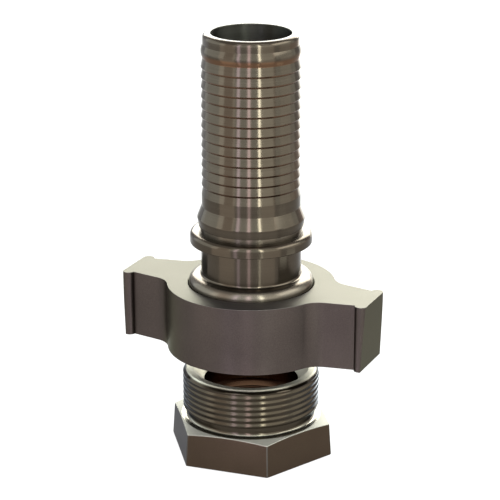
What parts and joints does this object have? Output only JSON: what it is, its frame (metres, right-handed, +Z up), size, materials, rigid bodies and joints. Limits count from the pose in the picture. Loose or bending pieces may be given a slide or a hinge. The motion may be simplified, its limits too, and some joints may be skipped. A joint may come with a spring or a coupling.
{
  "type": "ground joint hose coupling",
  "caption": "Barbed hose stem with a two-lug wing nut that draws its conical end down on to a threaded hexagon spud with a female pipe thread.",
  "frame": {"origin": "centre of the hexagon's foot, on the common axis of the three pieces, where the part stands", "axes": "+Z up the common axis from the spud to the hose mouth, X along the two lugs of the wing nut as pictured"},
  "size_m": [0.1412, 0.09, 0.2302],
  "materials": {
    "stem_steel": "turned satin, fine circular tool marks",
    "nut_iron": "matte fine-grained forging skin",
    "spud_steel": "satin, turned thread and bore, matte hexagon"
  },
  "bodies": {
    "spud": {"spud": "spud_steel"},
    "stem": {"hose_stem": "stem_steel"},
    "nut": {"wing_nut": "nut_iron"}
  },
  "joints": [
    {"name": "stem_lift", "type": "slide", "parent": "spud", "child": "stem", "axis": [0, 0, 1], "range_m": [-0.02858, 0]},
    {"name": "nut_turn", "type": "hinge", "parent": "stem", "child": "nut", "pos_m": [0, 0, 0.089], "axis": [0, 0, 1], "range_deg": [-3240, 0]}
  ],
  "couplings": [
    {"joint": "stem_lift", "follows": "nut_turn", "m_per_rad": 0.00050532}
  ]
}
